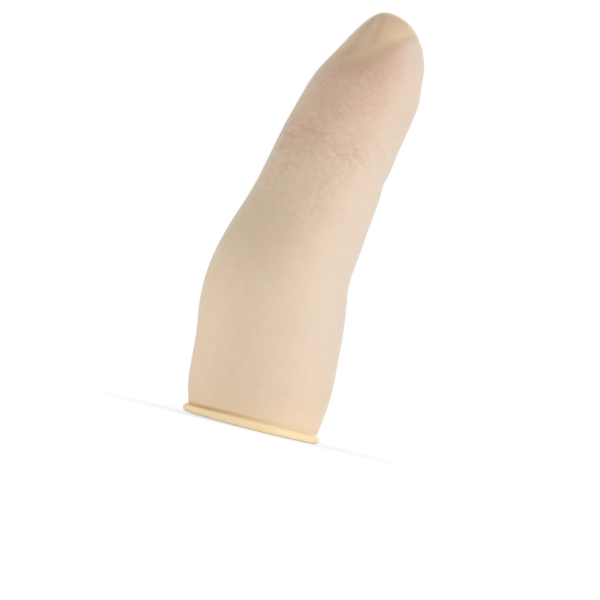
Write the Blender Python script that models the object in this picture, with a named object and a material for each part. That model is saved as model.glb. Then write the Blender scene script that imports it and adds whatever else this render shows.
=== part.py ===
"""A latex finger cot, in the slightly bent shape that it has in use. Metres, +Z up.

The real cot is one dipped film, closed at its tip and rolled up at its open end into a rim. Here
the film is cut into zones where it bends in use, so that the zones can move. The origin is the
middle of the mouth, in the plane of the rim. +Z runs up the cot, +X is the palm side, -X the nail
side, and the cot is the same on both sides of the XZ plane.
"""

import math

import bmesh
import bpy
import numpy as np
from mathutils import Vector

# Film and rim
FILM = 0.0001
RIM_RADIUS = 0.0098
BEAD_RADIUS = 0.00075
SEAM = 0.0003

# Lengths along the middle of the cot: mouth to knuckle, knuckle to tip joint, tip joint to end, and the
# part of the last one over which the end closes
BASE_LENGTH = 0.0205
MIDDLE_LENGTH = 0.0230
TIP_LENGTH = 0.0221
NAIL_LENGTH = 0.0136

# Turns of the centre line at rest, in degrees towards the palm, and the lengths they are spread over
BASE_LEAN = -3.4
KNUCKLE_BEND = 12.8
TIP_JOINT_BEND = 2.0
NAIL_CURL = -12.0
LEAN_SPREAD = 0.0040
BEND_SPREAD = 0.0140
CURL_SPREAD = 0.0150

# How far the two joints travel from rest, in degrees, and the film left free beside each axis
KNUCKLE_FLEX = 60.0
KNUCKLE_STRAIGHTEN = 12.0
TIP_JOINT_FLEX = 45.0
TIP_JOINT_STRAIGHTEN = 8.0
FOLD_FREE = 0.0012

# Half sizes of the film: towards the nail side, towards the palm, and sideways
FLARE_SIZES = (0.01055, 0.01065, 0.0105)
BASE_SIZES = (0.0108, 0.0111, 0.0108)
KNUCKLE_SIZES = (0.01115, 0.01065, 0.0110)
WAIST_SIZES = (0.01055, 0.0097, 0.0102)
MIDDLE_SIZES = (0.0095, 0.00935, 0.0096)
TIP_JOINT_SIZES = (0.0087, 0.0088, 0.0090)
NAIL_ROOT_SIZES = (0.0080, 0.0086, 0.0085)

# Where the sizes between the joints lie: the flare as a length, the others as shares of a segment
FLARE_HEIGHT = 0.0042
BASE_SHARE = 0.58
WAIST_SHARE = 0.24
MIDDLE_SHARE = 0.50

# How full the end is on the same three sides: 1 closes it as a parabola, 2 as an ellipse
END_FULLNESS = (1.0, 2.15, 2.2)

# Colours and roughness
FILM_COLOUR = (0.72, 0.57, 0.42)
FILM_ROUGHNESS = 0.55
BEAD_COLOUR = (0.88, 0.70, 0.44)
BEAD_ROUGHNESS = 0.45

# Fineness of the meshes
AROUND = 48
BASE_ROWS = 7
FOLD_ROWS = 4
MIDDLE_ROWS = 6
TIP_ROWS = 13
RIM_SEGMENTS = 64
BEAD_SIDES = 14
LINE_STEPS = 800

KNUCKLE_AT = BASE_LENGTH
TIP_JOINT_AT = KNUCKLE_AT + MIDDLE_LENGTH
END_AT = TIP_JOINT_AT + TIP_LENGTH
NAIL_ROOT_AT = END_AT - NAIL_LENGTH
CURL_AT = END_AT - 0.5 * CURL_SPREAD
FILM_START = BEAD_RADIUS + SEAM


# The centre line

def ease(share):
    """0 before share 0, 1 after share 1, and smooth between them; share is a number or an array."""
    share = np.clip(share, 0.0, 1.0)
    return share * share * (3.0 - 2.0 * share)


def heading(along):
    """The centre line's angle from +Z towards the palm, in radians, at a distance from the mouth."""
    lean = BASE_LEAN * ease(along / LEAN_SPREAD)
    knuckle = KNUCKLE_BEND * ease((along - KNUCKLE_AT) / BEND_SPREAD + 0.5)
    tip_joint = TIP_JOINT_BEND * ease((along - TIP_JOINT_AT) / BEND_SPREAD + 0.5)
    curl = NAIL_CURL * ease((along - CURL_AT) / CURL_SPREAD + 0.5)
    return np.radians(lean + knuckle + tip_joint + curl)


def draw_centre_line():
    """Distances from the mouth, and the centre line's X and Z at each."""
    step = END_AT / LINE_STEPS
    middles = heading((np.arange(LINE_STEPS) + 0.5) * step)
    along = np.linspace(0.0, END_AT, LINE_STEPS + 1)
    x = np.concatenate([[0.0], np.cumsum(np.sin(middles)) * step])
    z = np.concatenate([[0.0], np.cumsum(np.cos(middles)) * step])
    return along, x, z


CENTRE_LINE = draw_centre_line()


def centre(along):
    line, x, z = CENTRE_LINE
    return Vector((np.interp(along, line, x), 0.0, np.interp(along, line, z)))


# The film's surface

SIZE_PLACES = np.array([
    0.0,
    FLARE_HEIGHT,
    BASE_SHARE * BASE_LENGTH,
    KNUCKLE_AT,
    KNUCKLE_AT + WAIST_SHARE * MIDDLE_LENGTH,
    KNUCKLE_AT + MIDDLE_SHARE * MIDDLE_LENGTH,
    TIP_JOINT_AT,
    NAIL_ROOT_AT,
])
SIZES = np.array([
    (RIM_RADIUS, RIM_RADIUS, RIM_RADIUS),
    FLARE_SIZES,
    BASE_SIZES,
    KNUCKLE_SIZES,
    WAIST_SIZES,
    MIDDLE_SIZES,
    TIP_JOINT_SIZES,
    NAIL_ROOT_SIZES,
])
SIZE_SLOPES = np.gradient(SIZES, SIZE_PLACES, axis=0)


def half_sizes(along):
    """The film's half sizes at a distance from the mouth, on a smooth curve through SIZES."""
    place = min(along, NAIL_ROOT_AT)
    after = int(np.clip(np.searchsorted(SIZE_PLACES, place), 1, len(SIZE_PLACES) - 1))
    before = after - 1
    span = SIZE_PLACES[after] - SIZE_PLACES[before]
    share = (place - SIZE_PLACES[before]) / span
    rise = ease(share)
    leave = share * (1.0 - share) ** 2 * span
    arrive = share ** 2 * (share - 1.0) * span
    sizes = (1.0 - rise) * SIZES[before] + rise * SIZES[after]
    sizes = sizes + leave * SIZE_SLOPES[before] + arrive * SIZE_SLOPES[after]
    into_end = np.clip((along - NAIL_ROOT_AT) / NAIL_LENGTH, 0.0, 1.0)
    return sizes * np.sqrt(1.0 - into_end ** np.array(END_FULLNESS))


def depth_at(sizes, around):
    """How far a point at angle around lies towards the palm; around is 0 there and pi at the nail side."""
    nail_side, palm_side, _ = sizes
    return math.cos(around) * (palm_side if math.cos(around) > 0.0 else nail_side)


def film_point(along, around):
    sizes = half_sizes(along)
    depth = depth_at(sizes, around)
    angle = heading(along)
    across = Vector((math.cos(angle), 0.0, -math.sin(angle)))
    return centre(along) + across * depth + Vector((0.0, math.sin(around) * sizes[2], 0.0))


# Where the film folds

def fold_reach(joint_at, bend, flex, straighten):
    """How far a joint's fold reaches to each side of its axis, as a function of the angle around."""
    sizes = half_sizes(joint_at)
    palm_slope = math.tan(math.radians(bend + flex) / 2.0)
    nail_slope = math.tan(math.radians(max(straighten - bend, 0.0)) / 2.0)

    def reach(around):
        depth = depth_at(sizes, around)
        return FOLD_FREE + max(depth, 0.0) * palm_slope + max(-depth, 0.0) * nail_slope

    return reach


knuckle_reach = fold_reach(KNUCKLE_AT, KNUCKLE_BEND, KNUCKLE_FLEX, KNUCKLE_STRAIGHTEN)
tip_joint_reach = fold_reach(TIP_JOINT_AT, TIP_JOINT_BEND, TIP_JOINT_FLEX, TIP_JOINT_STRAIGHTEN)


# Objects

def clear_scene():
    for obj in list(bpy.data.objects):
        bpy.data.objects.remove(obj, do_unlink=True)


def latex(name, colour, roughness):
    material = bpy.data.materials.new(name)
    material.use_nodes = True
    shader = material.node_tree.nodes["Principled BSDF"]
    shader.inputs["Base Color"].default_value = (*colour, 1.0)
    shader.inputs["Roughness"].default_value = roughness
    shader.inputs["Metallic"].default_value = 0.0
    return material


def add_axis(name, place, parent=None):
    """An empty at a place in the world, which the pieces that turn or slide there hang on."""
    axis = bpy.data.objects.new(name, None)
    bpy.context.scene.collection.objects.link(axis)
    axis.parent = parent
    axis.location = place - world_place(parent)
    return axis


def world_place(axis):
    """Where an axis stands: the axes are only moved, never turned, so their locations add up."""
    place = Vector((0.0, 0.0, 0.0))
    while axis is not None:
        place = place + axis.location
        axis = axis.parent
    return place


def add_piece(name, shape, axis, material):
    """Turns a bmesh in world space into an object whose origin is at its axis."""
    bmesh.ops.translate(shape, verts=shape.verts, vec=-world_place(axis))
    bmesh.ops.recalc_face_normals(shape, faces=shape.faces)
    mesh = bpy.data.meshes.new(name)
    shape.to_mesh(mesh)
    shape.free()
    mesh.shade_smooth()
    mesh.materials.append(material)
    piece = bpy.data.objects.new(name, mesh)
    bpy.context.scene.collection.objects.link(piece)
    piece.parent = axis
    return piece


def give_thickness(piece):
    solidify = piece.modifiers.new("Film", "SOLIDIFY")
    solidify.thickness = FILM
    solidify.offset = -1.0
    solidify.use_even_offset = True


def add_ring(shape, along_at):
    """One ring of film points, at the distance from the mouth that along_at gives for each angle."""
    angles = [2.0 * math.pi * n / AROUND for n in range(AROUND)]
    return [shape.verts.new(film_point(along_at(angle), angle)) for angle in angles]


def join_rings(shape, lower, upper):
    for n in range(AROUND):
        following = (n + 1) % AROUND
        shape.faces.new((lower[n], lower[following], upper[following], upper[n]))


def add_film(name, low, high, rows, axis, material):
    """A band of film between two edges, which are distances from the mouth for each angle around."""
    shape = bmesh.new()
    rings = []
    for row in range(rows + 1):
        share = row / rows
        rings.append(add_ring(shape, lambda angle: (1.0 - share) * low(angle) + share * high(angle)))
    for lower, upper in zip(rings, rings[1:]):
        join_rings(shape, lower, upper)
    give_thickness(add_piece(name, shape, axis, material))


def add_tip(name, low, axis, material):
    """The closed end of the film, with rings that crowd towards its last point."""
    shape = bmesh.new()
    rings = []
    for row in range(TIP_ROWS):
        share = 1.0 - (1.0 - row / TIP_ROWS) ** 2
        rings.append(add_ring(shape, lambda angle: (1.0 - share) * low(angle) + share * END_AT))
    for lower, upper in zip(rings, rings[1:]):
        join_rings(shape, lower, upper)
    end = shape.verts.new(centre(END_AT))
    last = rings[-1]
    for n in range(AROUND):
        shape.faces.new((last[n], last[(n + 1) % AROUND], end))
    give_thickness(add_piece(name, shape, axis, material))


def add_rim(name, axis, material):
    """The film's rolled end: a round bead, turned about the mouth, with a flat side down."""
    shape = bmesh.new()
    for n in range(BEAD_SIDES):
        angle = 2.0 * math.pi * n / BEAD_SIDES
        shape.verts.new((RIM_RADIUS + BEAD_RADIUS * math.cos(angle), 0.0, BEAD_RADIUS * math.sin(angle)))
    points = list(shape.verts)
    edges = [shape.edges.new((points[n], points[(n + 1) % BEAD_SIDES])) for n in range(BEAD_SIDES)]
    bmesh.ops.spin(
        shape,
        geom=points + edges,
        cent=(0.0, 0.0, 0.0),
        axis=(0.0, 0.0, 1.0),
        angle=2.0 * math.pi,
        steps=RIM_SEGMENTS,
        use_merge=True,
    )
    add_piece(name, shape, axis, material)


def build():
    clear_scene()
    film = latex("latex_film", FILM_COLOUR, FILM_ROUGHNESS)
    bead = latex("latex_bead", BEAD_COLOUR, BEAD_ROUGHNESS)

    cot = add_axis("finger_cot", Vector((0.0, 0.0, 0.0)))
    rim_axis = add_axis("rim_roll_axis", Vector((0.0, 0.0, 0.0)), cot)
    knuckle_axis = add_axis("knuckle_axis", centre(KNUCKLE_AT), cot)
    tip_axis = add_axis("tip_joint_axis", centre(TIP_JOINT_AT), knuckle_axis)

    add_rim("rolled_rim", rim_axis, bead)
    add_film(
        "base_sleeve",
        lambda angle: FILM_START,
        lambda angle: KNUCKLE_AT - knuckle_reach(angle),
        BASE_ROWS, cot, film,
    )
    add_film(
        "knuckle_fold",
        lambda angle: KNUCKLE_AT - knuckle_reach(angle) + SEAM,
        lambda angle: KNUCKLE_AT + knuckle_reach(angle) - SEAM,
        FOLD_ROWS, cot, film,
    )
    add_film(
        "middle_sleeve",
        lambda angle: KNUCKLE_AT + knuckle_reach(angle),
        lambda angle: TIP_JOINT_AT - tip_joint_reach(angle),
        MIDDLE_ROWS, knuckle_axis, film,
    )
    add_film(
        "tip_joint_fold",
        lambda angle: TIP_JOINT_AT - tip_joint_reach(angle) + SEAM,
        lambda angle: TIP_JOINT_AT + tip_joint_reach(angle) - SEAM,
        FOLD_ROWS, knuckle_axis, film,
    )
    add_tip("tip_cap", lambda angle: TIP_JOINT_AT + tip_joint_reach(angle), tip_axis, film)


build()
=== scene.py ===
"""The looks of a latex finger cot: its thin film, slightly bent as in use, and its rolled rim."""

import math

import bpy
import numpy as np
from mathutils import Matrix, Vector


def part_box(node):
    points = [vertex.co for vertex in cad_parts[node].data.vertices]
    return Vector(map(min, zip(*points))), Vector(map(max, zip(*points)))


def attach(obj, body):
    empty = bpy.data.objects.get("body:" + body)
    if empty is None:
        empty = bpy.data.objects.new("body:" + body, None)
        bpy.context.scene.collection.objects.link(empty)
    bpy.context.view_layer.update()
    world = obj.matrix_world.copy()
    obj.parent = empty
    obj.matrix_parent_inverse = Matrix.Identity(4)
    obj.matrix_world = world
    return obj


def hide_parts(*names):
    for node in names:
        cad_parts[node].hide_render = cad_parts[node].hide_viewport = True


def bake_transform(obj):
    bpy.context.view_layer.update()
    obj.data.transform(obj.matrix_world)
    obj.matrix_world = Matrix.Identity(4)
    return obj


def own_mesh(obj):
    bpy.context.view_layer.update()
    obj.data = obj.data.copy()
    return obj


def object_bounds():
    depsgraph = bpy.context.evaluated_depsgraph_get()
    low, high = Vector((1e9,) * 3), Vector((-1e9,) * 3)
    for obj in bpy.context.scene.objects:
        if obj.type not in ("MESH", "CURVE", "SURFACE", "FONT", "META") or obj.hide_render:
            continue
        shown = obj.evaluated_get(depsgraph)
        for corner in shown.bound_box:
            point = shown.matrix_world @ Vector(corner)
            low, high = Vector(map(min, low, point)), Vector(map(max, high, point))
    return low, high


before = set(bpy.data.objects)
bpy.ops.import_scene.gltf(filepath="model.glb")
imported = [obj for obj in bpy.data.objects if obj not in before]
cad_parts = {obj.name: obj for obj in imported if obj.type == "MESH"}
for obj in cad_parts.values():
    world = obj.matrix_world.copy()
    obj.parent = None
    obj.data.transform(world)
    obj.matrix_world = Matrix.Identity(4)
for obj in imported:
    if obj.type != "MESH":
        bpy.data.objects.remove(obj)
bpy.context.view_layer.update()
FULL_TURN = 2.0 * math.pi

# The film's shape, in metres and degrees, as the solids have it. Half sizes are towards the nail side,
# towards the palm side and sideways.
FILM = 0.0001
BASE_LENGTH = 0.0205
MIDDLE_LENGTH = 0.0230
TIP_LENGTH = 0.0221
NAIL_LENGTH = 0.0136
BASE_LEAN = -3.4
KNUCKLE_BEND = 12.8
TIP_JOINT_BEND = 2.0
NAIL_CURL = -12.0
LEAN_SPREAD = 0.0040
BEND_SPREAD = 0.0140
CURL_SPREAD = 0.0150
FLARE_SIZES = (0.01055, 0.01065, 0.0105)
BASE_SIZES = (0.0108, 0.0111, 0.0108)
KNUCKLE_SIZES = (0.01115, 0.01065, 0.0110)
WAIST_SIZES = (0.01055, 0.0097, 0.0102)
MIDDLE_SIZES = (0.0095, 0.00935, 0.0096)
TIP_JOINT_SIZES = (0.0087, 0.0088, 0.0090)
NAIL_ROOT_SIZES = (0.0080, 0.0086, 0.0085)
FLARE_HEIGHT = 0.0042
BASE_SHARE = 0.58
WAIST_SHARE = 0.24
MIDDLE_SHARE = 0.50
END_FULLNESS = (1.0, 2.15, 2.2)
KNUCKLE_AT = BASE_LENGTH
TIP_JOINT_AT = KNUCKLE_AT + MIDDLE_LENGTH
END_AT = TIP_JOINT_AT + TIP_LENGTH
NAIL_ROOT_AT = END_AT - NAIL_LENGTH
CURL_AT = END_AT - 0.5 * CURL_SPREAD

# How far the kink where the end starts to close is softened, as a share of NAIL_LENGTH
END_SOFTNESS = 0.13

# The rim, from the frame
RIM_LOW, RIM_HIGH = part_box("rolled_rim")
BEAD_RADIUS = 0.5 * (RIM_HIGH.z - RIM_LOW.z)
RIM_RADIUS = RIM_HIGH.x - BEAD_RADIUS

# Where the film is cut into pieces
ROLL_SEAM_Z = 0.0112
MIDDLE_SEAM = 0.0312

# From here on, a pair that fade() takes is the place where something starts and the place where it is full.
# Places are in metres, and sides are cosines of the angle around: 1 is the palm side and -1 the nail side.

# The fold below the film's loose end, in a plane square to the side view, with a low ridge below it. Its
# pairs are places along it.
FOLD_POINT = np.array([0.00096, 0.0, 0.05568])
FOLD_TILT = math.radians(32.6)
FOLD_DEPTH = 0.00020
FOLD_WIDTH_SHARP = 0.0006
FOLD_WIDTH_SOFT = 0.0011
FOLD_SHARPENS = (0.0060, 0.0090)
FOLD_APPEARS = (-0.0010, 0.0060)
FOLD_WEAKENS = (0.0080, 0.0110)
FOLD_WEAKENING = 0.85
FOLD_WAVE = 0.00022
FOLD_WAVE_LENGTH = 0.0085
FOLD_UPTURN = 0.00045
FOLD_TURNS_UP = (0.0072, 0.0102)
FOLD_RIDGE = 0.00006
FOLD_RIDGE_BELOW = 0.0016
FOLD_RIDGE_WIDTH = 0.0009

# The loose end beyond the fold: flattened sideways and a little squared, and smooth again at its last point
END_PINCH = 0.00035
END_SQUARENESS = 0.00028
END_FLATTENS = (0.0, 0.0060)
END_SMOOTHS = (END_AT, END_AT - 0.0050)

# Soft pleats of the loose end: place around in degrees, height, and width in radians
PLEATS = (
    (214.0, 0.00006, 0.11),
    (228.0, -0.00008, 0.09),
    (241.0, 0.00008, 0.11),
    (257.0, -0.00004, 0.13),
    (284.0, 0.00003, 0.24),
    (138.0, -0.00009, 0.12),
    (118.0, 0.00007, 0.16),
    (94.0, -0.00006, 0.14),
)
PLEATS_APPEAR = (0.0004, 0.0026)
PLEAT_DEEPEST = max(-height for _, height, _ in PLEATS)

# Creases of the tip joint, on the nail side: distance from the mouth, place around and half length in
# degrees, depth
JOINT_CREASES = (
    (0.0401, 200.0, 30.0, 0.00003),
    (0.0411, 230.0, 34.0, 0.00005),
    (0.0422, 209.0, 44.0, 0.00005),
    (0.0433, 188.0, 36.0, 0.00004),
    (0.0441, 222.0, 34.0, 0.00005),
    (0.0452, 204.0, 40.0, 0.00004),
)
CREASE_WIDTH = 0.00030
CREASE_WAVE = 0.00018
CREASE_TURNS = 7.0
CREASE_DEEPEST = max(deepest for _, _, _, deepest in JOINT_CREASES)

# Shallow dips of the palm side, at the tip joint and below the fold: distance from the mouth, width, depth
PALM_DIPS = (
    (0.0414, 0.0015, 0.00026),
    (0.0570, 0.0018, 0.00026),
)
PALM_DIP_SIDE = (0.2, 0.9)

# The slight unevenness of the film: low waves, which die out at both ends
SWELL_SEED = 11
SWELL_WAVES = 14
SWELL_HEIGHT = 0.000012
SWELL_TURNS = (1, 7)
SWELL_LENGTHS = (0.006, 0.016)
SWELL_STARTS = (0.0010, 0.0050)
SWELL_ENDS = (END_AT, END_AT - 0.0060)

# The rolled rim: low waves, a slight tilt, and the lip of its last turn underneath. Its section is squarer
# and taller on the flanks, squarest at their foot, and slimmer at the palm and nail sides.
BEAD_SEED = 5
BEAD_WAVES = 6
BEAD_WAVE_TURNS = (3, 17)
BEAD_SWELL = 0.010
BEAD_TILT = 0.013
BEAD_SQUARENESS = 0.10
BEAD_FOOT = 0.12
BEAD_CROWN = 0.10
BEAD_SLIM = 0.10
BEAD_REACH = 0.00012
ROLL_STEP = 0.00005
ROLL_LIP_AT = math.radians(-100.0)
ROLL_LIP_WIDTH = math.radians(9.0)

# Where the loose end's colour begins, with an edge that is softer towards the nail side, and its nail side
# painted
# lighter: painted light, as if lit through the loose film
LOOSE_FROM = -0.0008
LOOSE_EDGE = 0.0018
LOOSE_SOFTER_EDGE = 0.0028
LOOSE_SOFTENS = (0.0020, -0.0040)
LIT_BEYOND = (0.0010, 0.0040)
LIT_SIDE = (-0.20, -0.60)
TIP_SHADE = 0.9
TIP_SHADE_ALONG = (0.0630, 0.0652)

# The flush: faint from the middle on, and full from a line across the tip joint that leans to one side
FLUSH_FAINT = 0.28
FLUSH_FAINT_ALONG = (0.0300, 0.0400)
FLUSH_JOINT_AT = 0.0409
FLUSH_JOINT_LEAN = 0.0030
FLUSH_JOINT_EDGE = 0.0032
FLUSH_PALM_SIDE = (0.80, 0.15)
FLUSH_NAIL_SIDE = (-1.0, -0.5)
FLUSH_NAIL_SHARE = 0.20

# The palm side painted paler and cooler, a painted reflection of white surroundings on the lit side; painted
# shade on the nail side beyond the knuckle; and the thicker film beside the rim, yellower and also painted
# paler in place of light from below
PALM_REFLECTION_SHARE = 0.70
PALM_SIDE = (0.30, 0.75)
PALM_REFLECTION_ALONG = (0.0080, 0.0160)
KNUCKLE_SHADE_AT = 0.0285
KNUCKLE_SHADE_WIDTH = 0.0065
KNUCKLE_SHADE_SIDE = (0.25, -0.30)
THICK_AND_LIT_ALONG = (0.0058, 0.0008)

# Painted shade: darker, reddish patches of the finger's end below the fold: strength, place and width along
# the fold, place and width across it. Two more lie on the palm side of the tip and on the nail side at the
# nail's root.
END_SHADES = (
    (0.65, 0.0020, 0.0036, -0.0012, 0.0017),
    (0.55, 0.0052, 0.0042, -0.0026, 0.0030),
)
PALM_END_SHADE = 0.22
PALM_END_SHADE_ALONG = (0.0440, 0.0520)
PALM_END_SHADE_SIDE = (-0.1, 0.4)
NAIL_ROOT_SHADE = 0.35
NAIL_ROOT_SHADE_AT = 0.0553
NAIL_ROOT_SHADE_WIDTH = 0.0028
NAIL_ROOT_SHADE_SIDE = (-0.3, -0.8)

# Painted shade: the dark line of the fold, and the crevice between film and rim, darker on the nail side
# away from the key light. The bead's share of the crevice is placed by height, as a share of the bead's
# radius.
FOLD_LINE_AT = 0.0002
FOLD_LINE_WIDTH = 0.0006
FOLD_LINE_WIDENING = 0.0005
FOLD_LINE_WIDEST_AT = 0.0055
FOLD_LINE_WIDE_STRETCH = 0.0025
FOLD_LINE_APPEARS = (0.0020, 0.0070)
CREVICE_AT = 0.00090
CREVICE_WIDTH = 0.00026
CREVICE_LEAST = 0.15
CREVICE_SIDE = (0.6, -0.8286)
BEAD_CREVICE = (0.38, 0.74)

# Fine texture: faint at the base, stronger on the taut film, strongest at the tip joint, and weaker on the
# palm side, on the loose end and just below the fold. Threads are its finest lines.
TEXTURE_LEAST = 0.10
TEXTURE_TAUT = 0.45
TEXTURE_TAUT_ALONG = (0.0240, 0.0360)
TEXTURE_JOINT = 0.45
TEXTURE_JOINT_AT = 0.0438
TEXTURE_JOINT_LEAN = 0.0020
TEXTURE_JOINT_WIDTH = 0.0044
TEXTURE_PALM_LOSS = 0.7
TEXTURE_PALM_SIDE = (0.05, 0.75)
TEXTURE_LOOSE_LOSS = 0.7
TEXTURE_FOLD_LOSS = 0.5
TEXTURE_FOLD_BEYOND = (-0.0045, -0.0010)
TEXTURE_FOLD_REACH = (0.0030, 0.0070)
THREADS_LEAST = 0.12
THREADS_LOOSE = 0.35
THREADS_JOINT_LOSS = 0.4
THREADS_JOINT_WIDTH = 0.0050

# Colours of the latex, and tints that they are multiplied by
LATEX_PALE = (0.812, 0.644, 0.480)
LATEX_DEEP = (0.790, 0.621, 0.459)
# Thicker film beside the rim: yellower, and painted paler in place of light from below
LATEX_THICK_AND_LIT = (0.862, 0.668, 0.471)
# Painted reflection: the lit palm side paler and cooler, as if reflecting white surroundings
LATEX_PALM_REFLECTION = (0.775, 0.636, 0.523)
LATEX_TAUT = (0.835, 0.658, 0.491)
LOOSE_PALE = (0.828, 0.613, 0.410)
LOOSE_DEEP = (0.796, 0.581, 0.394)
# Painted light: the loose end's nail side, lighter as if lit through the loose film
LOOSE_LIT = (0.856, 0.644, 0.437)
BEAD_PALE = (0.962, 0.790, 0.515)
BEAD_DEEP = (0.934, 0.747, 0.453)
TINGE_PINK = (1.008, 0.992, 1.000)
TINGE_GREEN = (0.992, 1.008, 0.995)
FLUSH_TINT = (1.000, 0.900, 0.895)
# Painted shade on the nail side beyond the knuckle, which faces away from the light
KNUCKLE_SHADE_TINT = (0.930, 0.928, 0.898)
FLECK_TINT = (0.915, 0.893, 0.882)
THREAD_TINT = (0.880, 0.868, 0.858)
# Painted shade: the last tints darken the creases, the fold's line, the pleats' valleys and the tip, the
# patches below the fold, and the crevice at the rim
LAST_TINTS = {
    "crease": (0.930, 0.895, 0.900),
    "fold": (0.900, 0.875, 0.830),
    "valley": (0.900, 0.880, 0.870),
    "end_shade": (0.870, 0.825, 0.805),
    "crevice": (0.740, 0.640, 0.450),
}

# Noise of the latex: size of its features in metres, and detail
MOTTLE = (0.0022, 3.0)
HUE = (0.0034, 3.0)
VEIL = (0.0042, 2.5)
BLOTCH = (0.0075, 2.0)
GRAIN = (0.00042, 2.0)
CELLS = (0.00110, 3.0)
LINES = (0.00058, 2.0)
FINE_LINES = (0.00028, 1.0)
BEAD_MOTTLE = (0.0016, 2.0)
BEAD_LINES = (0.00022, 2.0)

# Coordinates of the lined patterns are multiplied by these factors, so that their lines run around
CELLS_STRETCH = (1.0, 0.80, 0.80)
LINES_STRETCH = (1.0, 0.42, 0.42)
FINE_LINES_STRETCH = (1.0, 0.50, 0.50)
BEAD_LINES_STRETCH = 0.12

# The noise values between which each pattern counts, and what they become where that isn't 0 to 1
MOTTLE_RANGE = (0.32, 0.68)
HUE_RANGE = (0.34, 0.66)
VEIL_RANGE = (0.36, 0.64)
FLUSH_RANGE = (0.30, 0.70)
FLUSH_SHARES = (0.45, 1.45)
PATCH_RANGE = (0.34, 0.66)
PATCH_SHARES = (0.35, 1.25)
CELLS_RANGE = (0.38, 0.66)
LINES_RANGE = (0.40, 0.68)
FINE_LINES_RANGE = (0.44, 0.78)
BEAD_MOTTLE_RANGE = (0.3, 0.7)
BEAD_LINES_RANGE = (0.35, 0.65)
BEAD_LINES_SHARES = (0.25, 0.0)
ROUGHNESS_RANGE = (0.3, 0.7)
FILM_ROUGHNESS = (0.54, 0.66)
BEAD_ROUGHNESS = (0.40, 0.52)

# Gloss and sheen, and bumps by height in metres and strength
FILM_SPECULAR = 0.35
BEAD_SPECULAR = 0.4
SHEEN_WEIGHT = 0.80
SHEEN_ROUGHNESS = 0.30
GRAIN_BUMP = (0.000012, 0.5)
CRINKLE_BUMP = (0.00003, 0.8)
BEAD_BUMP = (0.00002, 0.6)

# The floor takes the shadow near the object and is plain white farther off
FLOOR_HALF = 2.0
FLOOR_GREY = 0.9
FLOOR_MATTE = 0.30
FLOOR_FADE = (0.010, 0.027)

# Light: even light from all round, and lamps by name, place, size, power and colour
EVEN_COLOUR = (1.0, 1.0, 0.97)
EVEN_STRENGTH = 0.557
LAMPS = (
    ("key", (0.50, -0.25, 0.15), 0.35, 1.47, (0.94, 0.94, 1.0)),
    ("card_front", (0.000, -0.08, 0.003), 0.03, 0.0065, (1.0, 1.0, 1.0)),
    ("card_side", (-0.045, -0.02, 0.004), 0.02, 0.0044, (1.0, 1.0, 0.98)),
    ("card_tip", (-0.045, -0.005, 0.064), 0.02, 0.0011, (1.0, 1.0, 1.0)),
    ("back", (0.05, 0.60, 0.25), 0.40, 0.8, (1.0, 1.0, 1.0)),
)

# The camera looks at AIM, turned about its own axis so that the cot leans as in the photograph
AIM = Vector((0.0027, 0.0, 0.0198))
VIEW_WIDTH = 0.0904
DISTANCE = 0.60
SENSOR = 36.0
CLIP_START = 0.01
ROLL = math.radians(13.65)
ELEVATION = math.radians(1.0)

# Fineness of the meshes, and of the steps that find the film's direction and height
AROUND = 240
ANGLES = np.linspace(0.0, FULL_TURN, AROUND, endpoint=False)
BASE_ROWS = 44
KNUCKLE_ROWS = 84
TIP_ROWS = 190
END_CROWDING = 6.0
LINE_STEPS = 1600
RIM_SEGMENTS = 320
BEAD_SIDES = 48
NORMAL_STEP = 0.00002
NORMAL_TURN = 0.002
HEIGHT_ROUNDS = 12


# Curves that the surface and the colours are made of

def ease(share):
    """0 before share 0, 1 after share 1, and smooth between them."""
    share = np.clip(share, 0.0, 1.0)
    return share * share * (3.0 - 2.0 * share)


def fade(value, start, full):
    """0 up to start, 1 from full on, and smooth between them; full may lie below start."""
    return ease((value - start) / (full - start))


def bell(distance, width):
    """1 at distance 0, falling smoothly to both sides."""
    return np.exp(-(distance / width) ** 2)


# The film's smooth surface

def heading(along):
    """The centre line's angle from +Z towards the palm, in radians, at a distance from the mouth."""
    lean = BASE_LEAN * ease(along / LEAN_SPREAD)
    knuckle = KNUCKLE_BEND * ease((along - KNUCKLE_AT) / BEND_SPREAD + 0.5)
    tip_joint = TIP_JOINT_BEND * ease((along - TIP_JOINT_AT) / BEND_SPREAD + 0.5)
    curl = NAIL_CURL * ease((along - CURL_AT) / CURL_SPREAD + 0.5)
    return np.radians(lean + knuckle + tip_joint + curl)


def draw_centre_line():
    """Distances from the mouth, and the centre line's X and Z at each."""
    step = END_AT / LINE_STEPS
    middles = heading((np.arange(LINE_STEPS) + 0.5) * step)
    along = np.linspace(0.0, END_AT, LINE_STEPS + 1)
    x = np.concatenate([[0.0], np.cumsum(np.sin(middles)) * step])
    z = np.concatenate([[0.0], np.cumsum(np.cos(middles)) * step])
    return along, x, z


CENTRE_LINE = draw_centre_line()
SIZE_PLACES = np.array([
    0.0,
    FLARE_HEIGHT,
    BASE_SHARE * BASE_LENGTH,
    KNUCKLE_AT,
    KNUCKLE_AT + WAIST_SHARE * MIDDLE_LENGTH,
    KNUCKLE_AT + MIDDLE_SHARE * MIDDLE_LENGTH,
    TIP_JOINT_AT,
    NAIL_ROOT_AT,
])
SIZES = np.array([
    (RIM_RADIUS, RIM_RADIUS, RIM_RADIUS),
    FLARE_SIZES,
    BASE_SIZES,
    KNUCKLE_SIZES,
    WAIST_SIZES,
    MIDDLE_SIZES,
    TIP_JOINT_SIZES,
    NAIL_ROOT_SIZES,
])
SIZE_SLOPES = np.gradient(SIZES, SIZE_PLACES, axis=0)


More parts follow.
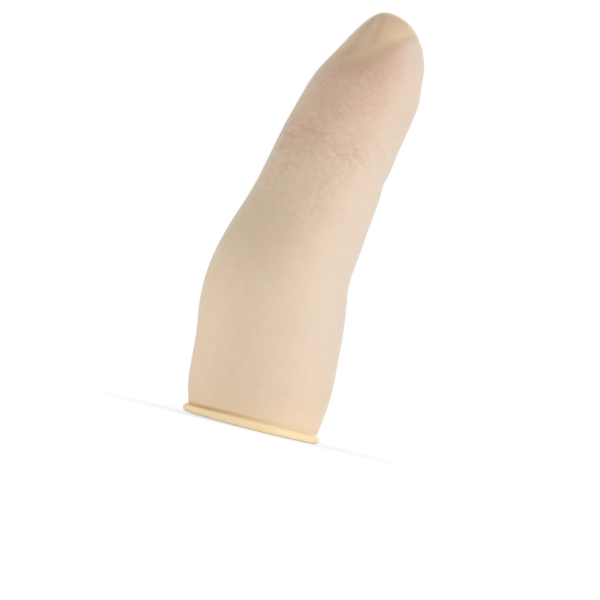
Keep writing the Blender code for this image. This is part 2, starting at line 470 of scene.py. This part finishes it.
def half_sizes(along):
    """Half sizes towards the nail side, towards the palm side and sideways, for an array of distances."""
    place = np.minimum(along, NAIL_ROOT_AT)
    after = np.clip(np.searchsorted(SIZE_PLACES, place), 1, len(SIZE_PLACES) - 1)
    before = after - 1
    span = SIZE_PLACES[after] - SIZE_PLACES[before]
    share = (place - SIZE_PLACES[before]) / span
    rise = ease(share)[..., None]
    leave = (share * (1.0 - share) ** 2 * span)[..., None]
    arrive = (share ** 2 * (share - 1.0) * span)[..., None]
    sizes = (1.0 - rise) * SIZES[before] + rise * SIZES[after]
    sizes = sizes + leave * SIZE_SLOPES[before] + arrive * SIZE_SLOPES[after]
    into_end = np.clip((along - NAIL_ROOT_AT) / NAIL_LENGTH, -END_SOFTNESS, 1.0)
    soft = (into_end + END_SOFTNESS) ** 2 / (4.0 * END_SOFTNESS)
    into_end = np.where(into_end < END_SOFTNESS, soft, into_end)[..., None]
    return sizes * np.sqrt(1.0 - into_end ** np.array(END_FULLNESS))


def film_points(along, around):
    """Points of the smooth film; around is 0 at the palm side and pi at the nail side."""
    line, line_x, line_z = CENTRE_LINE
    sizes = half_sizes(along)
    depth = np.cos(around) * np.where(np.cos(around) > 0.0, sizes[..., 1], sizes[..., 0])
    angle = heading(along)
    x = np.interp(along, line, line_x) + depth * np.cos(angle)
    y = np.sin(around) * sizes[..., 2]
    z = np.interp(along, line, line_z) - depth * np.sin(angle)
    return np.stack([x, y, z], axis=-1)


def film_normals(along, around):
    """Outward directions of the smooth film, by small steps along it and around it."""
    back = np.maximum(along - NORMAL_STEP, 0.0)
    ahead = np.minimum(along + NORMAL_STEP, END_AT - NORMAL_STEP)
    up = film_points(ahead, around) - film_points(np.minimum(back, ahead - NORMAL_STEP), around)
    here = np.minimum(along, END_AT - NORMAL_STEP)
    side = film_points(here, around + NORMAL_TURN) - film_points(here, around - NORMAL_TURN)
    normal = np.cross(side, up)
    return normal / np.linalg.norm(normal, axis=-1, keepdims=True)


def along_at_height(height, around):
    """Distances from the mouth at which the film reaches a height, for each angle around."""
    along = np.full_like(around, height)
    for _ in range(HEIGHT_ROUNDS):
        along = along + height - film_points(along, around)[..., 2]
    return along


# The film's relief

def fold_places(points):
    """How far points lie beyond the fold, towards the tip, and how far along it, towards the palm side."""
    offset = points - FOLD_POINT
    reach = offset[..., 0] * math.cos(FOLD_TILT) + offset[..., 2] * math.sin(FOLD_TILT)
    beyond = offset[..., 2] * math.cos(FOLD_TILT) - offset[..., 0] * math.sin(FOLD_TILT)
    wave = FOLD_WAVE * np.sin(reach * FULL_TURN / FOLD_WAVE_LENGTH + offset[..., 1] / FOLD_WAVE_LENGTH)
    return beyond + wave - FOLD_UPTURN * fade(reach, *FOLD_TURNS_UP), reach


def turn_from(around, degrees):
    """The angle from a place around the film, in radians between -pi and pi."""
    return (around - math.radians(degrees) + math.pi) % FULL_TURN - math.pi


def fold_relief(beyond, reach):
    """The fold and its ridge, which fade towards the nail side and where they turn round the palm side."""
    strength = fade(reach, *FOLD_APPEARS) * (1.0 - FOLD_WEAKENING * fade(reach, *FOLD_WEAKENS))
    sharp = fade(reach, *FOLD_SHARPENS) * (beyond < 0.0)
    width = FOLD_WIDTH_SOFT + (FOLD_WIDTH_SHARP - FOLD_WIDTH_SOFT) * sharp
    ridge = FOLD_RIDGE * bell(beyond + FOLD_RIDGE_BELOW, FOLD_RIDGE_WIDTH)
    return strength * (ridge - FOLD_DEPTH * bell(beyond, width))


def loose_relief(along, around, beyond):
    """The loose end is flattened sideways, a little squared, and pleated."""
    flat = 0.5 * END_SQUARENESS * (1.0 - np.cos(4.0 * around)) - END_PINCH * np.sin(around) ** 2
    pleats = np.zeros_like(along)
    for degrees, height, spread in PLEATS:
        pleats = pleats + height * bell(turn_from(around, degrees), spread)
    loose = flat * fade(beyond, *END_FLATTENS) + pleats * fade(beyond, *PLEATS_APPEAR)
    return loose * fade(along, *END_SMOOTHS)


def swell(along, around):
    """Low waves with whole numbers of turns around the film."""
    random = np.random.default_rng(SWELL_SEED)
    total = np.zeros_like(along)
    for _ in range(SWELL_WAVES):
        turns = random.integers(*SWELL_TURNS)
        length = random.uniform(*SWELL_LENGTHS)
        phase, shift = random.uniform(0.0, FULL_TURN, 2)
        wave = np.sin(turns * around + phase) * np.sin(FULL_TURN * along / length + shift)
        total = total + SWELL_HEIGHT * wave
    return total * fade(along, *SWELL_STARTS) * fade(along, *SWELL_ENDS)


def joint_creases(along, around):
    """Depth of the shallow creases that cross the nail side of the tip joint."""
    depth = np.zeros_like(along)
    for place, degrees, half_length, deepest in JOINT_CREASES:
        turn = turn_from(around, degrees)
        strength = fade(np.abs(turn), math.radians(half_length), 0.0)
        line = place + CREASE_WAVE * np.sin(CREASE_TURNS * turn + degrees)
        depth = depth + deepest * strength * bell(along - line, CREASE_WIDTH)
    return depth


def palm_dips(along, around):
    """Depth of the shallow dips across the palm side."""
    depth = np.zeros_like(along)
    for place, width, deepest in PALM_DIPS:
        depth = depth + deepest * bell(along - place, width)
    return depth * fade(np.cos(around), *PALM_DIP_SIDE)


def relief(along, around, points):
    """How far the film stands out from its smooth shape."""
    beyond, reach = fold_places(points)
    raised = fold_relief(beyond, reach) + loose_relief(along, around, beyond) + swell(along, around)
    return raised - joint_creases(along, around) - palm_dips(along, around)


# Where the film's colour changes

def loose_share(beyond, reach):
    """The loose end, whose edge follows the fold and softens towards the nail side."""
    return ease((beyond - LOOSE_FROM) / (LOOSE_EDGE + LOOSE_SOFTER_EDGE * fade(reach, *LOOSE_SOFTENS)))


def flush_share(along, facing):
    """A warmer tint of the flanks, faint beyond the knuckle and full beyond the tip joint."""
    joint_at = FLUSH_JOINT_AT + FLUSH_JOINT_LEAN * facing
    flush = FLUSH_FAINT * fade(along, *FLUSH_FAINT_ALONG)
    flush = flush + (1.0 - FLUSH_FAINT) * ease((along - joint_at) / FLUSH_JOINT_EDGE)
    nail_side = FLUSH_NAIL_SHARE + (1.0 - FLUSH_NAIL_SHARE) * fade(facing, *FLUSH_NAIL_SIDE)
    return flush * fade(facing, *FLUSH_PALM_SIDE) * nail_side


def end_shade_share(along, facing, beyond, reach, loose):
    """Painted shade: darker patches below the fold, on the palm side of the tip and at the nail's root."""
    end_shade = NAIL_ROOT_SHADE * bell(along - NAIL_ROOT_SHADE_AT, NAIL_ROOT_SHADE_WIDTH) * fade(facing, *NAIL_ROOT_SHADE_SIDE)
    palm_side = fade(along, *PALM_END_SHADE_ALONG) * fade(facing, *PALM_END_SHADE_SIDE)
    end_shade = end_shade + PALM_END_SHADE * palm_side * (1.0 - loose)
    for strength, reach_at, reach_width, beyond_at, beyond_width in END_SHADES:
        patch = bell(reach - reach_at, reach_width) * bell(beyond - beyond_at, beyond_width)
        end_shade = end_shade + strength * patch
    return end_shade


def fold_line_share(beyond, reach):
    """Painted shade along the fold's line, which widens in one stretch."""
    widening = bell(reach - FOLD_LINE_WIDEST_AT, FOLD_LINE_WIDE_STRETCH)
    width = FOLD_LINE_WIDTH + FOLD_LINE_WIDENING * widening
    return fade(reach, *FOLD_LINE_APPEARS) * bell(beyond - FOLD_LINE_AT, width)


def valley_share(along, around, beyond):
    """Painted shade in the pleats' valleys and at the very tip."""
    valleys = np.zeros_like(along)
    for degrees, height, spread in PLEATS:
        valleys = valleys + max(-height, 0.0) / PLEAT_DEEPEST * bell(turn_from(around, degrees), spread)
    return valleys * fade(beyond, *PLEATS_APPEAR) + TIP_SHADE * fade(along, *TIP_SHADE_ALONG)


def crevice_share(facing):
    """Painted shade in the crevice at the rim: dark on the nail side, away from the key light, and nearly
    gone on the palm side.
    """
    return CREVICE_LEAST + (1.0 - CREVICE_LEAST) * fade(facing, *CREVICE_SIDE)


def texture_share(along, facing, beyond, reach, loose):
    """Fine texture, by how taut the film is and which side it lies on."""
    joint_at = TEXTURE_JOINT_AT + TEXTURE_JOINT_LEAN * facing
    texture = TEXTURE_LEAST + TEXTURE_TAUT * fade(along, *TEXTURE_TAUT_ALONG)
    texture = texture + TEXTURE_JOINT * bell(along - joint_at, TEXTURE_JOINT_WIDTH)
    palm_side = fade(facing, *TEXTURE_PALM_SIDE)
    below_fold = fade(beyond, *TEXTURE_FOLD_BEYOND) * fade(reach, *TEXTURE_FOLD_REACH)
    texture = texture * (1.0 - TEXTURE_PALM_LOSS * palm_side) * (1.0 - TEXTURE_LOOSE_LOSS * loose)
    return texture * (1.0 - TEXTURE_FOLD_LOSS * below_fold)


def thread_share(along, texture, loose):
    """The finest lines, which follow the texture and run on over the loose end."""
    at_joint = bell(along - TEXTURE_JOINT_AT, THREADS_JOINT_WIDTH)
    return texture * (1.0 - THREADS_JOINT_LOSS * at_joint) + THREADS_LOOSE * loose + THREADS_LEAST


def film_masks(along, around, points):
    """The share of each change of colour at each point, by the name that the material reads it by."""
    beyond, reach = fold_places(points)
    facing = np.cos(around)
    loose = loose_share(beyond, reach)
    texture = texture_share(along, facing, beyond, reach, loose)
    return {
        # Painted reflection: the lit palm side paler and cooler
        "palm": PALM_REFLECTION_SHARE * fade(facing, *PALM_SIDE) * fade(along, *PALM_REFLECTION_ALONG) * (1.0 - loose),
        # Thicker film beside the rim: yellower, and painted paler in place of light from below
        "thick_and_lit": fade(along, *THICK_AND_LIT_ALONG),
        "loose": loose,
        # Painted light: the loose end's nail side lighter, as if lit through the film
        "lit": fade(beyond, *LIT_BEYOND) * fade(facing, *LIT_SIDE),
        "flush": flush_share(along, facing) * (1.0 - loose),
        # Painted shade on the nail side beyond the knuckle
        "knuckle_shade": bell(along - KNUCKLE_SHADE_AT, KNUCKLE_SHADE_WIDTH) * fade(facing, *KNUCKLE_SHADE_SIDE),
        "texture": texture,
        "threads": thread_share(along, texture, loose),
        # Painted shade: the creases, the fold's line, the pleats' valleys and tip, patches below the fold,
        # the crevice
        "crease": joint_creases(along, around) / CREASE_DEEPEST,
        "fold": fold_line_share(beyond, reach),
        "valley": valley_share(along, around, beyond),
        "end_shade": end_shade_share(along, facing, beyond, reach, loose),
        "crevice": bell(along - CREVICE_AT, CREVICE_WIDTH) * crevice_share(facing),
    }


# Meshes

def make_mesh(name, points, faces, sharp_rings, attributes):
    mesh = bpy.data.meshes.new(name)
    mesh.from_pydata(points.tolist(), [], faces)
    mesh.shade_smooth()
    for key, values in attributes.items():
        kind = "FLOAT_VECTOR" if values.ndim == 2 else "FLOAT"
        field = "vector" if values.ndim == 2 else "value"
        layer = mesh.attributes.new(key, kind, "POINT")
        layer.data.foreach_set(field, values.astype(np.float32).ravel())
    mark_sharp(mesh, sharp_rings)
    mesh.validate()
    obj = bpy.data.objects.new(name, mesh)
    bpy.context.scene.collection.objects.link(obj)
    return obj


def mark_sharp(mesh, rings):
    """Keeps the shading of a shell's two skins apart from its cut edges."""
    ring_of = np.full(len(mesh.vertices), -1)
    for n, ring in enumerate(rings):
        ring_of[ring] = n
    ends = np.zeros(len(mesh.edges) * 2, int)
    mesh.edges.foreach_get("vertices", ends)
    ends = ends.reshape(-1, 2)
    sharp = (ring_of[ends[:, 0]] >= 0) & (ring_of[ends[:, 0]] == ring_of[ends[:, 1]])
    layer = mesh.attributes.new("sharp_edge", "BOOLEAN", "EDGE")
    layer.data.foreach_set("value", sharp)


def ring_faces(lower, upper, flip):
    """Quads between two rings of vertex numbers."""
    faces = []
    rings = (lower, np.roll(lower, -1), np.roll(upper, -1), upper)
    for face in zip(*(ring.tolist() for ring in rings)):
        faces.append(face[::-1] if flip else face)
    return faces


def pole_faces(ring, pole, flip):
    """Triangles between a ring of vertex numbers and one last vertex."""
    faces = []
    for first, second in zip(ring.tolist(), np.roll(ring, -1).tolist()):
        face = (first, second, pole)
        faces.append(face[::-1] if flip else face)
    return faces


def film_grid(low, high, rows, closed):
    """Distances from the mouth and angles around of the points between two edges, row by row."""
    share = np.arange(rows if closed else rows + 1) / rows
    if closed:
        share = (share - share ** END_CROWDING / END_CROWDING) / (1.0 - 1.0 / END_CROWDING)
    along = (1.0 - share[:, None]) * low[None, :] + share[:, None] * high[None, :]
    around = np.tile(ANGLES, len(share))
    if closed:
        return np.append(along, END_AT), np.append(around, 0.0)
    return along.ravel(), around


def shell_faces(count, closed):
    """Faces of a shell with count points on its outer skin and then on its inner one, and its edge rings."""
    grid = np.arange(count - count % AROUND).reshape(-1, AROUND)
    under = grid + count
    faces = []
    for row in range(len(grid) - 1):
        faces += ring_faces(grid[row], grid[row + 1], False)
        faces += ring_faces(under[row], under[row + 1], True)
    faces += ring_faces(grid[0], under[0], True)
    if closed:
        faces += pole_faces(grid[-1], count - 1, False)
        faces += pole_faces(under[-1], 2 * count - 1, True)
        return faces, [grid[0], under[0]]
    faces += ring_faces(grid[-1], under[-1], False)
    return faces, [grid[0], under[0], grid[-1], under[-1]]


def add_film(name, low, high, rows, closed=False):
    """A thin shell of film between two edges, or from one edge over the closed end."""
    along, around = film_grid(low, high, rows, closed)
    smooth = film_points(along, around)
    normals = film_normals(along, around)
    if closed:
        normals[-1] = (math.sin(heading(END_AT)), 0.0, math.cos(heading(END_AT)))
    outside = smooth + relief(along, around, smooth)[:, None] * normals
    points = np.concatenate([outside, outside - FILM * normals])
    faces, rings = shell_faces(len(outside), closed)
    masks = film_masks(along, around, smooth)
    attributes = {key: np.tile(values, 2) for key, values in masks.items()}
    attributes["rest"] = points
    straight = [along, RIM_RADIUS * np.cos(around), RIM_RADIUS * np.sin(around)]
    attributes["skin"] = np.tile(np.stack(straight, axis=-1), (2, 1))
    return make_mesh(name, points, faces, rings, attributes)


def bead_swelling(turn, side):
    """Low waves of the bead, as shares of its radius, which never take it past that radius."""
    random = np.random.default_rng(BEAD_SEED)
    total = np.zeros_like(turn)
    for _ in range(BEAD_WAVES):
        waves = random.integers(*BEAD_WAVE_TURNS)
        phase, shift = random.uniform(0.0, FULL_TURN, 2)
        total = total + BEAD_SWELL * np.sin(waves * turn + phase) * np.cos(side + shift)
    return np.minimum(total, BEAD_SWELL) - BEAD_SWELL


def bead_points(turn, side):
    """Points of the bead; side is its section's angle, 0 on the outside and rising towards the top."""
    flank = np.sin(turn) ** 2
    squareness = np.where(side < 0.0, BEAD_SQUARENESS + BEAD_FOOT, BEAD_SQUARENESS)
    fullness = 1.0 + bead_swelling(turn, side) + flank * squareness * np.sin(2.0 * side) ** 2
    from_lip = (side - ROLL_LIP_AT) % FULL_TURN
    rolled_in = np.maximum(from_lip / FULL_TURN, 1.0 - ease(from_lip / ROLL_LIP_WIDTH))
    radius = BEAD_RADIUS * fullness - ROLL_STEP * rolled_in
    nail_side = np.maximum(-np.cos(turn), 0.0) ** 2
    out = RIM_RADIUS + radius * np.cos(side) + BEAD_REACH * nail_side
    crown = np.where(side > 0.0, 1.0 + flank * BEAD_CROWN, 1.0) - BEAD_SLIM * (1.0 - flank)
    height = radius * crown * np.sin(side) - BEAD_TILT * out * np.cos(turn)
    return np.stack([out * np.cos(turn), out * np.sin(turn), height], axis=-1)


def add_bead(name):
    """The rolled rim: a bead of film rolled up about the mouth."""
    turns = np.linspace(0.0, FULL_TURN, RIM_SEGMENTS, endpoint=False)
    sides = np.linspace(-math.pi, math.pi, BEAD_SIDES, endpoint=False)
    turn, side = np.meshgrid(turns, sides, indexing="ij")
    points = bead_points(turn, side).reshape(-1, 3)
    grid = np.arange(RIM_SEGMENTS * BEAD_SIDES).reshape(RIM_SEGMENTS, BEAD_SIDES)
    faces = []
    for ring, following in zip(grid, np.roll(grid, -1, axis=0)):
        faces += ring_faces(ring, following, True)
    # Painted shade in the crevice where the film meets the bead's top
    crevice = fade(np.sin(side), *BEAD_CREVICE) * crevice_share(np.cos(turn))
    attributes = {
        "rest": points,
        "grain": points * (BEAD_LINES_STRETCH, BEAD_LINES_STRETCH, 1.0),
        "across": np.linalg.norm(points[:, :2], axis=1),
        "crevice": crevice.ravel(),
    }
    return make_mesh(name, points, faces, [], attributes)


mouth = np.zeros(AROUND)
roll_seam = along_at_height(ROLL_SEAM_Z, ANGLES)
middle_seam = np.full(AROUND, MIDDLE_SEAM)
end = np.full(AROUND, END_AT)
base_film = add_film("base_film", mouth, roll_seam, BASE_ROWS)
knuckle_film = add_film("knuckle_film", roll_seam, middle_seam, KNUCKLE_ROWS)
tip_film = add_film("tip_film", middle_seam, end, TIP_ROWS, closed=True)
bead = add_bead("rolled_bead")


# Nodes

def feed(tree, socket, value):
    """Links an output to a socket, or sets the socket's own value."""
    if isinstance(value, bpy.types.NodeSocket):
        tree.links.new(value, socket)
    elif isinstance(value, tuple):
        socket.default_value = (*value, 1.0)
    else:
        socket.default_value = value


def attribute(tree, name, output="Fac"):
    node = tree.nodes.new("ShaderNodeAttribute")
    node.attribute_name = name
    return node.outputs[output]


def noise(tree, vector, size, detail, across=None):
    """Noise with features of a size in metres, in three dimensions or in four."""
    node = tree.nodes.new("ShaderNodeTexNoise")
    node.inputs["Scale"].default_value = 1.0 / size
    node.inputs["Detail"].default_value = detail
    tree.links.new(vector, node.inputs["Vector"])
    if across is not None:
        node.noise_dimensions = "4D"
        tree.links.new(times(tree, across, 1.0 / size), node.inputs["W"])
    return node.outputs[0]


def stretch(tree, vector, factors):
    node = tree.nodes.new("ShaderNodeMapping")
    node.inputs["Scale"].default_value = factors
    tree.links.new(vector, node.inputs["Vector"])
    return node.outputs[0]


def remap(tree, value, between, to=(0.0, 1.0)):
    """Turns the values between two limits into those between two others, and holds the ends."""
    node = tree.nodes.new("ShaderNodeMapRange")
    feed(tree, node.inputs["Value"], value)
    node.inputs["From Min"].default_value, node.inputs["From Max"].default_value = between
    node.inputs["To Min"].default_value, node.inputs["To Max"].default_value = to
    return node.outputs[0]


def calculate(tree, way, first, second):
    node = tree.nodes.new("ShaderNodeMath")
    node.operation = way
    feed(tree, node.inputs[0], first)
    feed(tree, node.inputs[1], second)
    return node.outputs[0]


def times(tree, first, second):
    return calculate(tree, "MULTIPLY", first, second)


def mix(tree, share, first, second, way="MIX"):
    node = tree.nodes.new("ShaderNodeMix")
    node.data_type = "RGBA"
    node.blend_type = way
    sockets = {socket.identifier: socket for socket in node.inputs}
    feed(tree, sockets["Factor_Float"], share)
    feed(tree, sockets["A_Color"], first)
    feed(tree, sockets["B_Color"], second)
    return next(socket for socket in node.outputs if socket.identifier == "Result_Color")


def tint(tree, share, colour, shade):
    return mix(tree, share, colour, shade, "MULTIPLY")


def bump(tree, height, distance, strength, below=None):
    node = tree.nodes.new("ShaderNodeBump")
    node.inputs["Distance"].default_value = distance
    node.inputs["Strength"].default_value = strength
    tree.links.new(height, node.inputs["Height"])
    if below is not None:
        tree.links.new(below, node.inputs["Normal"])
    return node.outputs[0]


def mix_shaders(tree, share, first, second, output):
    """Shows the first shader where share is 0 and the second where it is 1."""
    node = tree.nodes.new("ShaderNodeMixShader")
    tree.links.new(share, node.inputs["Fac"])
    tree.links.new(first.outputs[0], node.inputs[1])
    tree.links.new(second.outputs[0], node.inputs[2])
    tree.links.new(node.outputs[0], output.inputs["Surface"])


def new_material(name):
    material = bpy.data.materials.new(name)
    material.use_nodes = True
    tree = material.node_tree
    return material, tree, tree.nodes["Principled BSDF"]


# Materials

def film_latex():
    """Satin cream latex: mottled, flushed and finely lined where it is taut, tan in its loose end, and with
    painted shade and light.
    """
    material, tree, shader = new_material("latex_film")
    rest = attribute(tree, "rest", "Vector")
    skin = attribute(tree, "skin", "Vector")
    texture = attribute(tree, "texture")
    mottle = noise(tree, rest, *MOTTLE)
    blotch = noise(tree, rest, *BLOTCH)
    hue = remap(tree, noise(tree, rest, *HUE), HUE_RANGE)
    veil = remap(tree, noise(tree, rest, *VEIL), VEIL_RANGE)
    cells = remap(tree, noise(tree, stretch(tree, skin, CELLS_STRETCH), *CELLS), CELLS_RANGE)
    lines = remap(tree, noise(tree, stretch(tree, skin, LINES_STRETCH), *LINES), LINES_RANGE)
    fine_lines = noise(tree, stretch(tree, skin, FINE_LINES_STRETCH), *FINE_LINES)
    patches = times(tree, texture, remap(tree, blotch, PATCH_RANGE, PATCH_SHARES))
    creases = times(tree, patches, lines)
    threads = times(tree, attribute(tree, "threads"), remap(tree, fine_lines, FINE_LINES_RANGE))
    flush = times(tree, attribute(tree, "flush"), remap(tree, blotch, FLUSH_RANGE, FLUSH_SHARES))

    colour = mix(tree, remap(tree, mottle, MOTTLE_RANGE), LATEX_DEEP, LATEX_PALE)
    colour = tint(tree, 1.0, colour, mix(tree, hue, TINGE_PINK, TINGE_GREEN))
    # Painted reflection: the lit palm side paler and cooler
    colour = mix(tree, attribute(tree, "palm"), colour, LATEX_PALM_REFLECTION)
    colour = mix(tree, texture, colour, LATEX_TAUT)
    # Thicker film beside the rim: yellower, and painted paler in place of light from below
    colour = mix(tree, attribute(tree, "thick_and_lit"), colour, LATEX_THICK_AND_LIT)
    colour = mix(tree, attribute(tree, "loose"), colour, mix(tree, veil, LOOSE_DEEP, LOOSE_PALE))
    # Painted light: the loose end's nail side lighter, as if lit through the film
    colour = mix(tree, attribute(tree, "lit"), colour, LOOSE_LIT)
    colour = tint(tree, flush, colour, FLUSH_TINT)
    # Painted shade on the nail side beyond the knuckle
    colour = tint(tree, attribute(tree, "knuckle_shade"), colour, KNUCKLE_SHADE_TINT)
    colour = tint(tree, times(tree, patches, cells), colour, FLECK_TINT)
    colour = tint(tree, creases, colour, FLECK_TINT)
    colour = tint(tree, threads, colour, THREAD_TINT)
    # Painted shade in the creases, along the fold, in the valleys and at the tip, below the fold and in the
    # crevice
    for mask, shade in LAST_TINTS.items():
        colour = tint(tree, attribute(tree, mask), colour, shade)

    feed(tree, shader.inputs["Base Color"], colour)
    feed(tree, shader.inputs["Roughness"], remap(tree, mottle, ROUGHNESS_RANGE, FILM_ROUGHNESS))
    shader.inputs["Specular IOR Level"].default_value = FILM_SPECULAR
    shader.inputs["Sheen Weight"].default_value = SHEEN_WEIGHT
    shader.inputs["Sheen Roughness"].default_value = SHEEN_ROUGHNESS
    grain = bump(tree, noise(tree, rest, *GRAIN), *GRAIN_BUMP)
    feed(tree, shader.inputs["Normal"], bump(tree, times(tree, creases, -1.0), *CRINKLE_BUMP, grain))
    return material


def bead_latex():
    """The same latex rolled into a thicker bead: a deeper cream, with fine lines that run round with the
    roll.
    """
    material, tree, shader = new_material("latex_bead")
    mottle = noise(tree, attribute(tree, "rest", "Vector"), *BEAD_MOTTLE)
    lines = noise(tree, attribute(tree, "grain", "Vector"), *BEAD_LINES, attribute(tree, "across"))
    colour = mix(tree, remap(tree, mottle, BEAD_MOTTLE_RANGE), BEAD_DEEP, BEAD_PALE)
    colour = mix(tree, remap(tree, lines, BEAD_LINES_RANGE, BEAD_LINES_SHARES), colour, BEAD_DEEP)
    # Painted shade in the crevice at the bead's top
    colour = tint(tree, attribute(tree, "crevice"), colour, LAST_TINTS["crevice"])
    feed(tree, shader.inputs["Base Color"], colour)
    feed(tree, shader.inputs["Roughness"], remap(tree, mottle, ROUGHNESS_RANGE, BEAD_ROUGHNESS))
    shader.inputs["Specular IOR Level"].default_value = BEAD_SPECULAR
    feed(tree, shader.inputs["Normal"], bump(tree, lines, *BEAD_BUMP))
    return material


film_material = film_latex()
for piece in (base_film, knuckle_film, tip_film):
    piece.data.materials.append(film_material)
bead.data.materials.append(bead_latex())


# What each piece follows


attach(base_film, "base")
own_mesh(base_film)
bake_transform(knuckle_film)
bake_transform(tip_film)
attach(bead, "rim")
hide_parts("base_sleeve")
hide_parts("knuckle_fold")
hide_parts("middle_sleeve", "tip_joint_fold", "tip_cap")
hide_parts("rolled_rim")


# Floor, light and camera

def seen_directly(tree):
    """1 for rays from the camera, from mirror-like surfaces and through clear ones, and 0 for the rest."""
    path = tree.nodes.new("ShaderNodeLightPath")
    seen = calculate(tree, "MAXIMUM", path.outputs["Is Camera Ray"], path.outputs["Is Glossy Ray"])
    return calculate(tree, "MAXIMUM", seen, path.outputs["Is Transmission Ray"])


def floor_material():
    material, tree, shader = new_material("floor_white")
    tree.nodes.remove(shader)
    matte = tree.nodes.new("ShaderNodeBsdfDiffuse")
    matte.inputs["Color"].default_value = (FLOOR_GREY, FLOOR_GREY, FLOOR_GREY, 1.0)
    white = tree.nodes.new("ShaderNodeEmission")
    place = tree.nodes.new("ShaderNodeNewGeometry")
    distance = tree.nodes.new("ShaderNodeVectorMath")
    distance.operation = "LENGTH"
    tree.links.new(place.outputs["Position"], distance.inputs[0])
    plain = remap(tree, distance.outputs["Value"], FLOOR_FADE, (1.0 - FLOOR_MATTE, 1.0))
    share = times(tree, seen_directly(tree), plain)
    mix_shaders(tree, share, matte, white, tree.nodes["Material Output"])
    return material


def add_floor():
    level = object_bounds()[0].z
    mesh = bpy.data.meshes.new("floor")
    corners = [(-1, -1), (1, -1), (1, 1), (-1, 1)]
    mesh.from_pydata([(FLOOR_HALF * x, FLOOR_HALF * y, level) for x, y in corners], [], [(0, 1, 2, 3)])
    mesh.materials.append(floor_material())
    floor = bpy.data.objects.new("floor", mesh)
    bpy.context.scene.collection.objects.link(floor)


def set_world():
    """Light from all round at one level, seen as plain white."""
    world = bpy.data.worlds.new("studio")
    bpy.context.scene.world = world
    world.use_nodes = True
    tree = world.node_tree
    tree.nodes.clear()
    even = tree.nodes.new("ShaderNodeBackground")
    even.inputs["Color"].default_value = (*EVEN_COLOUR, 1.0)
    even.inputs["Strength"].default_value = EVEN_STRENGTH
    white = tree.nodes.new("ShaderNodeBackground")
    white.inputs["Color"].default_value = (1.0, 1.0, 1.0, 1.0)
    mix_shaders(tree, seen_directly(tree), even, white, tree.nodes.new("ShaderNodeOutputWorld"))


def add_lamp(name, place, size, power, colour):
    light = bpy.data.lights.new(name, "AREA")
    light.shape = "DISK"
    light.size = size
    light.energy = power
    light.color = colour
    lamp = bpy.data.objects.new(name, light)
    lamp.location = place
    lamp.rotation_mode = "QUATERNION"
    lamp.rotation_quaternion = (AIM - Vector(place)).to_track_quat("-Z", "Y")
    lamp.visible_camera = False
    bpy.context.scene.collection.objects.link(lamp)


def add_camera():
    data = bpy.data.cameras.new("camera")
    data.sensor_width = SENSOR
    data.lens = SENSOR * DISTANCE / VIEW_WIDTH
    data.clip_start = CLIP_START
    camera = bpy.data.objects.new("camera", data)
    camera.location = (AIM.x, -DISTANCE * math.cos(ELEVATION), DISTANCE * math.sin(ELEVATION))
    level = (AIM - camera.location).to_track_quat("-Z", "Y").to_matrix()
    camera.rotation_mode = "QUATERNION"
    camera.rotation_quaternion = (level @ Matrix.Rotation(ROLL, 3, "Z")).to_quaternion()
    bpy.context.scene.collection.objects.link(camera)
    bpy.context.scene.camera = camera


add_floor()
set_world()
for lamp_settings in LAMPS:
    add_lamp(*lamp_settings)
add_camera()
bpy.context.scene.view_settings.view_transform = "Standard"
